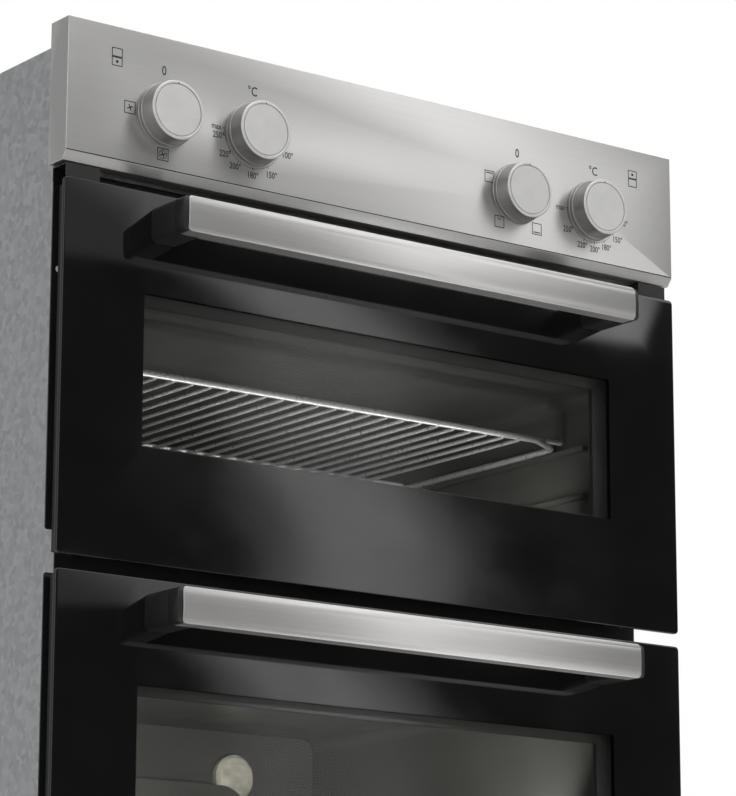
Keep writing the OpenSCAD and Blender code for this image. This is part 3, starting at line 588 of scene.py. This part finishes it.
def make_knob(node, body):
    """Knob: flanged foot, straight turned side, raised rim, groove and a flat face."""
    low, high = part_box(node)
    x, z = knob_axis(node)
    spindle, air, edge_r, face_sunk = 3 * MM, 0.4 * MM, 0.9 * MM, 0.1 * MM
    mark_half, mark_proud = 0.4 * MM, 0.03 * MM
    foot = (high.x - low.x) / 2
    front, back = low.y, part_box("knob_bezels")[0].y - air
    side_top = foot - 1.6 * MM
    rim = side_top - 2.4 * MM
    outline = [(0, high.y), (spindle, high.y), (spindle, back)]
    outline += [(foot - inwards * MM, back - forwards * MM) for inwards, forwards in KNOB_FLANGE]
    for angle in (math.radians(d) for d in (0, 22, 45, 68, 90)):
        outline.append((side_top - edge_r * (1 - math.cos(angle)),
                        front + edge_r * (1 - math.sin(angle))))
    outline += [(rim + outwards * MM, front + inwards * MM) for outwards, inwards in KNOB_GROOVE]
    outline.append((0, front + face_sunk))
    bm = bmesh.new()
    spin_about_y(bm, [(r, y - high.y) for r, y in outline], (x, high.y, z))
    # Faces behind the front and outside the rim (the side and the foot) take the darker copy of the
    # silver: painted shade on the knob's side.
    for face in bm.faces:
        c = face.calc_center_median() - Vector((x, 0, z))
        face.material_index = int(c.y > front + 0.5 * MM and math.hypot(c.x, c.z) > rim + 0.3 * MM)
    piece = to_object(node.replace("_knob", "_control"), bm,
                      [FINISHES["knob_silver"], KNOB_SIDE_SHADED], crease=12)
    mount(piece, body, [node])
    mark = bmesh.new()
    block(mark, (x - mark_half, front - mark_proud, z + rim - 0.2 * MM),
          (x + mark_half, front + face_sunk, z + side_top - 1.4 * MM))
    mount(to_object(node.replace("_knob", "_pointer"), mark, [DIAL_INK]), body)


make_fascia()
make_bezels()
for knob_node, knob_body in KNOBS.items():
    make_knob(knob_node, knob_body)


# ---------------------------------------------------------------- printed dials

INK = 0.04 * MM
LINE, THICK_LINE, THIN_LINE = 0.7 * MM, 0.9 * MM, 0.5 * MM
SYMBOL = 9.3 * MM
ZERO_LIFT, ZERO_HEIGHT = 34.5 * MM, 7.3 * MM
CAP_SHARE = 0.70
PEN_WEIGHT = 0.09 * MM


class Print:
    """Ink laid on the fascia's face: x and z in metres, in one mesh."""

    def __init__(self):
        self.bm = bmesh.new()
        self.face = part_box("control_panel")[0].y

    def bar(self, start, end, width=LINE):
        """A straight stroke between two points."""
        start, end = Vector((start[0], 0, start[1])), Vector((end[0], 0, end[1]))
        run = end - start
        turn = Matrix.Rotation(-math.atan2(run.z, run.x), 4, "Y")
        middle = (start + end) / 2
        middle.y = self.face - INK / 2
        bmesh.ops.create_cube(self.bm, size=1, matrix=Matrix.Translation(middle) @ turn
                              @ Matrix.Diagonal((run.length + width, INK, width, 1)))

    def loop(self, points, width=LINE):
        """Strokes from point to point and back to the first."""
        for start, end in zip(points, points[1:] + points[:1]):
            self.bar(start, end, width)

    def square(self, x, z, w, h, corner=0.0):
        """An outlined square, with its corners cut when corner is given."""
        c = corner
        points = [(x - w / 2 + c, z - h / 2), (x + w / 2 - c, z - h / 2),
                  (x + w / 2, z - h / 2 + c), (x + w / 2, z + h / 2 - c),
                  (x + w / 2 - c, z + h / 2), (x - w / 2 + c, z + h / 2),
                  (x - w / 2, z + h / 2 - c), (x - w / 2, z - h / 2 + c)]
        self.loop(points if corner else points[::2])

    def dot(self, x, z, r):
        """A filled round spot."""
        place = Matrix.Translation((x, self.face - INK / 2, z)) @ Matrix.Rotation(
            math.pi / 2, 4, "X")
        bmesh.ops.create_cone(self.bm, cap_ends=True, segments=12, radius1=r, radius2=r,
                              depth=INK, matrix=place)

    def word(self, text, x, z, height, width_share=0.82):
        """Generic lettering, centred on a point."""
        font = bpy.data.curves.new("lettering", "FONT")
        font.body = text
        font.size = height / CAP_SHARE
        font.align_x = "CENTER"
        font.align_y = "CENTER"
        font.extrude = INK / 2
        font.offset = PEN_WEIGHT
        font.resolution_u = 3
        source = bpy.data.objects.new("lettering", font)
        scene.collection.objects.link(source)
        bpy.context.view_layer.update()
        mesh = bpy.data.meshes.new_from_object(
            source.evaluated_get(bpy.context.evaluated_depsgraph_get()))
        bpy.data.objects.remove(source)
        mesh.transform(Matrix.Translation((x, self.face - INK / 2, z))
                       @ Matrix.Rotation(math.pi / 2, 4, "X")
                       @ Matrix.Diagonal((width_share, 1, 1, 1)))
        self.bm.from_mesh(mesh)
        bpy.data.meshes.remove(mesh)

    def finish(self, name):
        """Turns the strokes into one piece on the casing."""
        bmesh.ops.remove_doubles(self.bm, verts=self.bm.verts, dist=0.0005 * MM)
        mount(to_object(name, self.bm, [DIAL_INK]), "casing")


def polar(x, z, degrees, r):
    """Point on a circle; 0 degrees is to the right and 90 is up."""
    a = math.radians(degrees)
    return x + r * math.cos(a), z + r * math.sin(a)


def print_which_oven(ink, x, z, upper):
    """Two stacked ovens, with a dot in the one that the controls belong to."""
    half, width, height, corner, spot = 3.6 * MM, 8.8 * MM, 6.4 * MM, 0.3 * MM, 1.2 * MM
    for lift in (-half, half):
        ink.square(x, z + lift, width, height, corner)
    ink.dot(x, z + (half if upper else -half), spot)


def print_scale(ink, x, z, labels):
    """Temperature scale: labels clockwise from the right, a tick at each and a run of dots.

    Labels beside the knob stand a little further out than those below it, to clear the ticks."""
    near, far, tick_in, tick_out = 32.5 * MM, 34 * MM, 26.4 * MM, 28.2 * MM
    dot_ring, dot_r, dot_step = 26.6 * MM, 0.45 * MM, 4
    for text, angle in labels:
        last_mark = text == "max"
        beside = last_mark or (text[0] == "1" and angle > -60)
        height = 4.6 * MM if last_mark else 5.0 * MM
        ink.word(text, *polar(x, z, angle, far if beside else near), height, 0.8)
        ink.bar(polar(x, z, angle, tick_in), polar(x, z, angle, tick_out), THIN_LINE)
    first, last = labels[0][1], labels[-1][1]
    count = int((first - last) / dot_step)
    for i in range(count + 1):
        angle = first + (last - first) * i / count
        ink.dot(*polar(x, z, angle, dot_ring), dot_r)


def print_fan(ink, x, z, ring):
    """Oven outline with a fan, and a heater ring round it when there is one."""
    hub, blade, ring_r, ring_line = 0.5 * MM, 2.3 * MM, 3.4 * MM, 0.45 * MM
    ink.square(x, z, SYMBOL, SYMBOL)
    for k in range(4):
        inner, outer = polar(x, z, 45 + 90 * k, hub), polar(x, z, 20 + 90 * k, blade)
        ink.bar(inner, outer, THICK_LINE)
    if ring:
        ink.loop([polar(x, z, 20 * k, ring_r) for k in range(18)], ring_line)


def print_dials():
    """Figures and symbols round the four knobs, from the lower oven's selector to the right."""
    ink = Print()
    x, z = knob_axis("lower_selector_knob")
    print_which_oven(ink, x - 44 * MM, z + 37 * MM, upper=False)
    ink.word("0", x - 2 * MM, z + ZERO_LIFT, ZERO_HEIGHT)
    print_fan(ink, x - 32 * MM, z, ring=False)
    print_fan(ink, x - 2 * MM, z - 31 * MM, ring=True)
    x, z = knob_axis("lower_thermostat_knob")
    ink.word("°C", x - 1 * MM, z + ZERO_LIFT, ZERO_HEIGHT)
    print_scale(ink, x, z, [("100°", -18), ("150°", -59), ("180°", -90),
                            ("200°", -120), ("220°", -142), ("250°", -169),
                            ("max", -181)])
    x, z = knob_axis("upper_selector_knob")
    ink.word("0", x + 1 * MM, z + ZERO_LIFT, ZERO_HEIGHT)
    ink.square(x - 28 * MM, z + 10 * MM, SYMBOL, SYMBOL)
    ink.bar((x - 31 * MM, z + 13 * MM), (x - 25 * MM, z + 13 * MM), THICK_LINE)
    ink.square(x - 18 * MM, z - 26 * MM, SYMBOL, SYMBOL)
    for k in (-2, 0, 2):
        ink.bar((x + (k - 18) * MM, z - 22.8 * MM), (x + (k / 2 - 18) * MM, z - 24.3 * MM),
                THIN_LINE)
    ink.square(x + 21 * MM, z - 25.5 * MM, SYMBOL, SYMBOL)
    ink.bar((x + 18 * MM, z - 28.4 * MM), (x + 24 * MM, z - 28.4 * MM), THICK_LINE)
    x, z = knob_axis("upper_thermostat_knob")
    ink.word("°C", x + 2 * MM, z + ZERO_LIFT, ZERO_HEIGHT)
    print_scale(ink, x, z, [("100°", -8), ("150°", -36), ("180°", -62),
                            ("200°", -85), ("220°", -109), ("250°", -142),
                            ("max", -176)])
    print_which_oven(ink, x + 45 * MM, z + 36 * MM, upper=True)
    ink.finish("dial_print")


print_dials()


# ---------------------------------------------------------------- doors

GLASS_CORNER, GLASS_ARRIS = 3.5 * MM, 0.7 * MM
INNER_CORNER, INNER_ARRIS, INNER_STEP = 2 * MM, 0.5 * MM, 5 * MM
SHARP_FOLD = math.radians(50)


def pane(name, low, high, window, corner, materials, arris):
    """Toughened pane: rounded corners, ground edges, and a clear window through its printed border."""
    bm = bmesh.new()
    block(bm, low, high)
    round_off(bm, along(bm.edges, 1), corner, 6)
    rim = [e for e in bm.edges if len({round(v.co.y, 6) for v in e.verts}) == 1]
    round_off(bm, rim, arris, 3)
    left, right, bottom, top = window
    for co, no in (((left, 0, 0), (1, 0, 0)), ((right, 0, 0), (1, 0, 0)),
                   ((0, 0, bottom), (0, 0, 1)), ((0, 0, top), (0, 0, 1))):
        bmesh.ops.bisect_plane(bm, geom=bm.verts[:] + bm.edges[:] + bm.faces[:],
                               plane_co=co, plane_no=no)
    for face in bm.faces:
        c = face.calc_center_median()
        face.material_index = int(left < c.x < right and bottom < c.z < top)
    bmesh.ops.recalc_face_normals(bm, faces=bm.faces)
    return to_object(name, bm, materials)


def window_of(node):
    """The clear part of a door glass, from the step that its print leaves on the back."""
    print_step, slack = 0.2 * MM, 0.02 * MM
    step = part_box(node)[1].y - print_step
    inside = [v.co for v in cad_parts[node].data.vertices if abs(v.co.y - step) < slack]
    return (min(c.x for c in inside), max(c.x for c in inside),
            min(c.z for c in inside), max(c.z for c in inside))


def make_door_glass(door):
    """A door's two panes; the window through the inner one is a little smaller."""
    window = window_of(f"{door}_glass")
    outer = pane(f"{door}_front_pane", *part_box(f"{door}_glass"), window, GLASS_CORNER,
                 [FINISHES["door_glass"], WINDOW_GLASS], GLASS_ARRIS)
    mount(outer, door, [f"{door}_glass"])
    left, right, bottom, top = window
    inner_window = (left + INNER_STEP, right - INNER_STEP, bottom + INNER_STEP, top - INNER_STEP)
    inner = pane(f"{door}_back_pane", *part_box(f"{door}_inner_glass"), inner_window, INNER_CORNER,
                 [INNER_PRINT, FINISHES["inner_glass"]], INNER_ARRIS)
    mount(inner, door, [f"{door}_inner_glass"])


def handle_section(low_z, high_z, front, back):
    """Section of a handle bar in (y, z): a shallow bow in front and flat behind."""
    bow_radius, steps = 90 * MM, 8
    half = (high_z - low_z) / 2
    middle = (high_z + low_z) / 2
    reach = math.asin(half / bow_radius)
    bow = []
    for i in range(steps + 1):
        angle = reach * (2 * i / steps - 1)
        bow.append((front + bow_radius * (1 - math.cos(angle)),
                    middle + bow_radius * math.sin(angle)))
    return bow + [(back, high_z), (back, low_z)]


def extrude_section(bm, section, x0, x1):
    """Draws a section out along X."""
    verts = [bm.verts.new((x0, y, z)) for y, z in section]
    cap = bm.faces.new(verts)
    drawn = bmesh.ops.extrude_face_region(bm, geom=[cap])["geom"]
    moved = [v for v in drawn if isinstance(v, bmesh.types.BMVert)]
    bmesh.ops.translate(bm, verts=moved, vec=(x1 - x0, 0, 0))
    bmesh.ops.recalc_face_normals(bm, faces=bm.faces)


def sharp_edges(bm):
    """The edges between two faces that meet at more than SHARP_FOLD."""
    return [e for e in bm.edges if len(e.link_faces) == 2 and e.calc_face_angle() > SHARP_FOLD]


def make_handle(door):
    """Bowed brushed bar with rounded ends, held by a black cap and post at each end."""
    name = door.split("_")[0]
    low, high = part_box(f"{name}_handle_bar")
    posts_low, posts_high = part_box(f"{name}_handle_posts")
    low_corner, high_corner, bar_edge = 8 * MM, 4 * MM, 1.4 * MM
    cap_width, cap_lap, cap_corner, cap_edge, set_back = 4 * MM, 8 * MM, 6 * MM, 0.8 * MM, 0.5 * MM
    post_width, post_corner = 24.5 * MM, 5 * MM
    bm = bmesh.new()
    extrude_section(bm, handle_section(low.z, high.z, low.y, high.y), low.x, high.x)
    for edge_z, radius in ((low.z, low_corner), (high.z, high_corner)):
        ends = [e for e in along(bm.edges, 1) if abs(abs(e.verts[0].co.x) - high.x) < MM
                and abs(e.verts[0].co.z - edge_z) < MM]
        round_off(bm, ends, radius, 6)
    round_off(bm, sharp_edges(bm), bar_edge, 3)
    bar = to_object(f"{name}_door_handle", bm, [FINISHES["handle_steel"]])
    mount(bar, door, [f"{name}_handle_bar"])

    caps = bmesh.new()
    for side in (-1, 1):
        x_out, x_bar = side * posts_high.x, side * (posts_high.x - cap_width)
        x0, x1 = sorted((x_bar - side * cap_lap, x_out))
        shell = bmesh.new()
        extrude_section(shell, handle_section(low.z + set_back, high.z - set_back,
                                              low.y + 2 * set_back, high.y), x0, x1)
        outer = [e for e in along(shell.edges, 1) if abs(e.verts[0].co.x - x_out) < 0.1 * MM]
        round_off(shell, outer, cap_corner, 6)
        round_off(shell, sharp_edges(shell), cap_edge, 2)
        stem = bmesh.new()
        p0, p1 = sorted((side * (posts_high.x - post_width), x_out))
        block(stem, (p0, high.y, posts_low.z), (p1, posts_high.y, posts_high.z))
        round_off(stem, along(stem.edges, 1), post_corner, 6)
        take_in(caps, shell)
        take_in(caps, stem)
    posts = to_object(f"{name}_door_handle_ends", caps, [FINISHES["handle_black"]])
    mount(posts, door, [f"{name}_handle_posts"])


def make_seal(oven):
    """Silicone door seal: a round lip with a thinner bead inside it."""
    node = f"{oven}_door_seal"
    low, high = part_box(node)
    lip_r = (high.y - low.y) / 2
    inset, corner = 4 * MM, 16 * MM
    y = low.y + lip_r

    def ring(step):
        """A closed run with round corners, this far in from the seal's outer edge."""
        x, z0, z1 = high.x - step, low.z + step, high.z - step
        return fillet([(-x, y, z0), (x, y, z0), (x, y, z1), (-x, y, z1)], corner, closed=True)

    runs = [(ring(lip_r), lip_r, True), (ring(lip_r + inset), 0.7 * lip_r, True)]
    mount(wires(f"{oven}_mouth_seal", runs, FINISHES["seal_rubber"]), "casing", [node])


for door_body in ("upper_door", "lower_door"):
    make_door_glass(door_body)
    make_handle(door_body)
for oven_name in ("upper", "lower"):
    make_seal(oven_name)


# ---------------------------------------------------------------- shelves and tray

def make_shelf(node):
    """Wire shelf: one bent frame wire, two cross wires and a row of close bars."""
    low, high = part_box(node)
    side_r, rail_r = 3.0 * MM, 2.5 * MM
    frame_r, cross_r, bar_r, bend = 2.7 * MM, 2.0 * MM, 1.5 * MM, 14 * MM
    corner_x, corner_y, pitch = 36.4 * MM, 20 * MM, 17 * MM
    z = low.z + side_r
    x = high.x - side_r
    front, back = low.y + rail_r, high.y - side_r
    frame_path = fillet([(-x, back, z), (-x, front + corner_y, z), (-x + corner_x, front, z),
                         (x - corner_x, front, z), (x, front + corner_y, z), (x, back, z)],
                        bend, closed=True)
    cross_z = z + 3.4 * MM
    runs = [(frame_path, frame_r, True)]
    for y in (front + 10 * MM, front + 0.68 * (back - front) + 2 * MM):
        runs.append(([(-x, y, cross_z), (x, y, cross_z)], cross_r, False))
    count = 2 * int((x - corner_x - 8 * MM) / pitch) + 1
    for i in range(count):
        bar_x = (i - (count - 1) / 2) * pitch
        points = [(bar_x, front + 7 * MM, z + 1.6 * MM), (bar_x, front + 10 * MM, z),
                  (bar_x, back, z)]
        runs.append((fillet(points, 3 * MM, steps=3), bar_r, False))
    piece = wires(f"{node}_wires", runs, FINISHES["shelf_chrome"])
    mount(piece, node, [node])


def make_tray():
    """Pressed enamelled tray: tapered well, soft corners and a flat rim."""
    low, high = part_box("baking_tray")
    rim, corner, base_r, sheet = 9 * MM, 22 * MM, 7 * MM, 0.8 * MM
    taper_x, taper_y = 0.965, 0.95
    bm = bmesh.new()
    block(bm, (low.x + rim, low.y + rim, low.z), (high.x - rim, high.y - rim, high.z))
    round_off(bm, along(bm.edges, 2), corner, 8)
    base = [v for v in bm.verts if v.co.z < low.z + MM]
    centre = Vector((0, (low.y + high.y) / 2, 0))
    shrink = Matrix.Diagonal((taper_x, taper_y, 1))
    for vert in base:
        offset = vert.co - centre
        vert.co = centre + shrink @ offset
    top = [f for f in bm.faces if f.normal.z > 0.9]
    bmesh.ops.delete(bm, geom=top, context="FACES_ONLY")
    edge = [e for e in bm.edges if len(e.link_faces) == 2
            and all(v.co.z < low.z + MM for v in e.verts)]
    round_off(bm, edge, base_r, 4)
    mouth = [e for e in bm.edges if len(e.link_faces) == 1]
    drawn = bmesh.ops.extrude_edge_only(bm, edges=mouth)["geom"]
    verts = [g for g in drawn if isinstance(g, bmesh.types.BMVert)]
    span = Vector((max(v.co.x for v in verts), max(v.co.y for v in verts) - centre.y, 1))
    grow = Vector(((span.x + rim) / span.x, (span.y + rim) / span.y, 1))
    for vert in verts:
        vert.co = centre + Vector(a * b for a, b in zip(vert.co - centre, grow))
    bmesh.ops.recalc_face_normals(bm, faces=bm.faces)
    piece = to_object("enamelled_tray", bm, [FINISHES["tray_enamel"]])
    sheet_of(piece, sheet)
    mount(piece, "baking_tray", ["baking_tray"])


make_shelf("upper_shelf")
make_shelf("lower_shelf")
make_tray()


# ---------------------------------------------------------------- studio

def make_floor():
    """Plain pale floor under the oven."""
    material, tree, shader, place = begin("studio_floor", Specular_IOR_Level=0.2)
    tone = grain(tree, place, (900, 900, 900), detail=2)
    join(tree, shader, "Base Color", tint(tree, tone, "#e2e2e1", "#e8e8e7"))
    join(tree, shader, "Roughness", spread(tree, tone, 0.6, 0.7))
    bm = bmesh.new()
    bmesh.ops.create_circle(bm, cap_ends=True, segments=96, radius=9)
    to_object("studio_floor", bm, [material])


def make_surround():
    """Studio surround: a bright band high up, a dark flag low in front and one narrow strip light.

    Azimuths run from straight in front of the oven towards its right side."""
    strip_azimuth, strip_half, strip_edge, strip_light = 0.633, 0.010, 0.028, 2.2
    flag_azimuth, flag_half, flag_edge = 0.62, 0.34, 0.25
    flag_light, room_light = 0.05, 0.42
    glow_azimuth, glow_half, glow_light = 0.80, 0.31, 2.7
    flag_top, flag_fade = 0.31, 0.03
    world = bpy.data.worlds.new("studio")
    world.use_nodes = True
    scene.world = world
    tree = world.node_tree
    tree.nodes.clear()
    direction = add(tree, "ShaderNodeTexCoord").outputs["Generated"]
    part = add(tree, "ShaderNodeSeparateXYZ", {"Vector": direction}).outputs
    ahead = add(tree, "ShaderNodeMath", {0: part["Y"], 1: -1.0}, operation="MULTIPLY")
    azimuth = add(tree, "ShaderNodeMath", {0: part["X"], 1: ahead.outputs["Value"]},
                  operation="ARCTAN2").outputs["Value"]

    def falloff(centre, half, edge, inside, outside):
        """A value that is inside near an azimuth and outside away from it."""
        away = add(tree, "ShaderNodeMath", {0: azimuth, 1: centre}, operation="SUBTRACT")
        size = add(tree, "ShaderNodeMath", {0: away.outputs["Value"]}, operation="ABSOLUTE")
        return add(tree, "ShaderNodeMapRange", {
            "Value": size.outputs["Value"], "From Min": half, "From Max": half + edge,
            "To Min": inside, "To Max": outside}, interpolation_type="SMOOTHSTEP").outputs["Result"]

    strip = falloff(strip_azimuth, strip_half, strip_edge, strip_light, 0.0)
    flag = falloff(flag_azimuth, flag_half, flag_edge, flag_light, room_light)
    low = add(tree, "ShaderNodeMath", {0: strip, 1: flag}, operation="ADD").outputs["Value"]
    high = falloff(glow_azimuth, 0.0, glow_half, glow_light, room_light)
    light = add(tree, "ShaderNodeMapRange", {
        "Value": part["Z"], "From Min": flag_top, "From Max": flag_top + flag_fade,
        "To Min": low, "To Max": high}, interpolation_type="SMOOTHSTEP").outputs["Result"]
    lit = add(tree, "ShaderNodeBackground", {"Color": (1, 1, 1, 1), "Strength": light})
    seen = add(tree, "ShaderNodeBackground", {"Color": (1, 1, 1, 1), "Strength": 1.0})
    eye = add(tree, "ShaderNodeLightPath").outputs["Is Camera Ray"]
    both = add(tree, "ShaderNodeMixShader", {0: eye, 1: lit.outputs[0], 2: seen.outputs[0]})
    add(tree, "ShaderNodeOutputWorld", {"Surface": both.outputs[0]})


def soft_light(name, position, target, size, power):
    """A softbox of (width, height) that faces a target, with its power in watts."""
    data = bpy.data.lights.new(name, "AREA")
    data.shape = "RECTANGLE"
    data.size, data.size_y = size
    data.energy = power
    lamp = bpy.data.objects.new(name, data)
    lamp.location = position
    aim = Vector(target) - Vector(position)
    lamp.rotation_mode = "QUATERNION"
    lamp.rotation_quaternion = aim.to_track_quat("-Z", "Y")
    lamp.visible_camera = False
    scene.collection.objects.link(lamp)


def light_cavity(node, lift, power):
    """A soft strip just inside the mouth, lift above the cavity's underside, aimed back and up."""
    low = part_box(node)[0]
    mouth = Vector((0, low.y + 40 * MM, low.z + lift * MM))
    aim, size = Vector((0, 0.25, 0.16)), (0.42, 0.05)
    soft_light(node + "_light", mouth, mouth + aim, size, power)


make_floor()
make_surround()
soft_light("ceiling_softbox", (-0.3, -0.9, 3.4), (0, 0, 0.5), (2.4, 2.4), 48)
soft_light("left_fill", (-3.2, -1.6, 1.5), (0, 0, 0.45), (1.8, 1.8), 22)
soft_light("floor_card", (0.65, -0.95, 0.03), (0.65, -0.95, 1.0), (0.35, 0.8), 2.2)
light_cavity("upper_cavity", 40, 0.52)
light_cavity("lower_cavity", 255, 1.3)
scene.view_settings.view_transform = "Standard"
